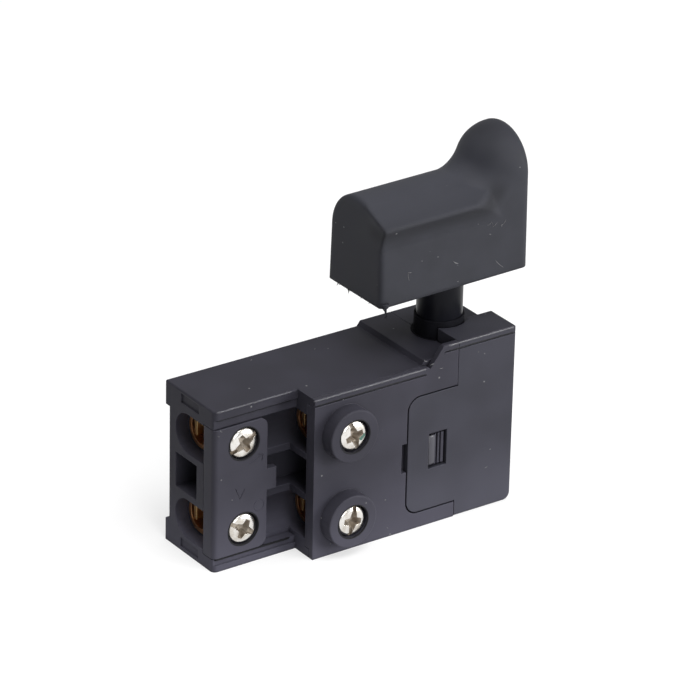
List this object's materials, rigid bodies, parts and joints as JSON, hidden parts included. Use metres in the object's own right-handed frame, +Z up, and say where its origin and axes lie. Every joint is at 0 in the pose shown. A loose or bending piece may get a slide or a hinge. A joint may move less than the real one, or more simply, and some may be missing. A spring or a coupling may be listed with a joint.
{
  "type": "trigger switch",
  "caption": "Trigger switch for a hand power tool: stepped black case with screw clamp terminals, a sealed spring-loaded stem and a curved finger trigger on top.",
  "frame": {"origin": "on the flat bottom face of the case, straight under the axis of the plunger stem", "axes": "+Z up along the plunger's travel, +X towards the closed end of the case (away from the wire entries), -Y the side with the terminal screws"},
  "size_m": [0.0623, 0.0228, 0.0667],
  "materials": {
    "case_plastic": "satin moulded thermoset, near black",
    "cover_plastic": "satin moulded thermoset, near black",
    "cap_plastic": "satin moulded thermoset, near black",
    "trigger_plastic": "fine matt moulded plastic, dark blue grey",
    "plunger_plastic": "smooth moulded plastic, black",
    "pusher_plastic": "smooth natural plastic",
    "seal_rubber": "soft black rubber",
    "screw_nickel": "nickel plated steel",
    "sleeve_brass": "machined brass",
    "strip_brass": "stamped brass strip",
    "rocker_copper": "stamped copper",
    "contact_silver": "silver contact tip",
    "spring_steel": "drawn spring wire"
  },
  "bodies": {
    "case": {"housing": "case_plastic", "front_cover": "cover_plastic", "terminal_cover": "cover_plastic", "end_cap": "cap_plastic", "stem_seal": "seal_rubber", "return_spring": "spring_steel", "line_sleeve_lower": "sleeve_brass", "load_sleeve_lower": "sleeve_brass", "line_strip_lower": "strip_brass", "load_strip_lower": "strip_brass", "fixed_tip_lower": "contact_silver", "line_sleeve_upper": "sleeve_brass", "load_sleeve_upper": "sleeve_brass", "line_strip_upper": "strip_brass", "load_strip_upper": "strip_brass", "fixed_tip_upper": "contact_silver"},
    "plunger": {"plunger": "plunger_plastic", "trigger": "trigger_plastic", "pusher_lower": "pusher_plastic", "pusher_spring_lower": "spring_steel", "pusher_upper": "pusher_plastic", "pusher_spring_upper": "spring_steel"},
    "rocker_lower": {"rocker_lower": "rocker_copper", "moving_tip_lower": "contact_silver"},
    "line_screw_lower": {"line_screw_lower": "screw_nickel"},
    "load_screw_lower": {"load_screw_lower": "screw_nickel"},
    "rocker_upper": {"rocker_upper": "rocker_copper", "moving_tip_upper": "contact_silver"},
    "line_screw_upper": {"line_screw_upper": "screw_nickel"},
    "load_screw_upper": {"load_screw_upper": "screw_nickel"}
  },
  "joints": [
    {"name": "press", "type": "slide", "parent": "case", "child": "plunger", "axis": [0, 0, -1], "range_m": [0, 0.006], "stiffness_N_per_m": 667, "springref_m": -0.006, "deforming": ["return_spring"]},
    {"name": "rocker_lower_tilt", "type": "hinge", "parent": "case", "child": "rocker_lower", "pos_m": [-0.00905, 0, 0.00675], "axis": [0, 1, 0], "range_deg": [0, 14]},
    {"name": "line_screw_lower_out", "type": "slide", "parent": "case", "child": "line_screw_lower", "axis": [0, -1, 0], "range_m": [0, 0.003]},
    {"name": "load_screw_lower_out", "type": "slide", "parent": "case", "child": "load_screw_lower", "axis": [0, -1, 0], "range_m": [0, 0.003]},
    {"name": "rocker_upper_tilt", "type": "hinge", "parent": "case", "child": "rocker_upper", "pos_m": [-0.00905, 0, 0.02275], "axis": [0, 1, 0], "range_deg": [0, 14]},
    {"name": "line_screw_upper_out", "type": "slide", "parent": "case", "child": "line_screw_upper", "axis": [0, -1, 0], "range_m": [0, 0.003]},
    {"name": "load_screw_upper_out", "type": "slide", "parent": "case", "child": "load_screw_upper", "axis": [0, -1, 0], "range_m": [0, 0.003]}
  ],
  "couplings": [
    {"joint": "rocker_lower_tilt", "follows": "press", "rad_per_m": 40.7},
    {"joint": "rocker_upper_tilt", "follows": "press", "rad_per_m": 40.7}
  ]
}
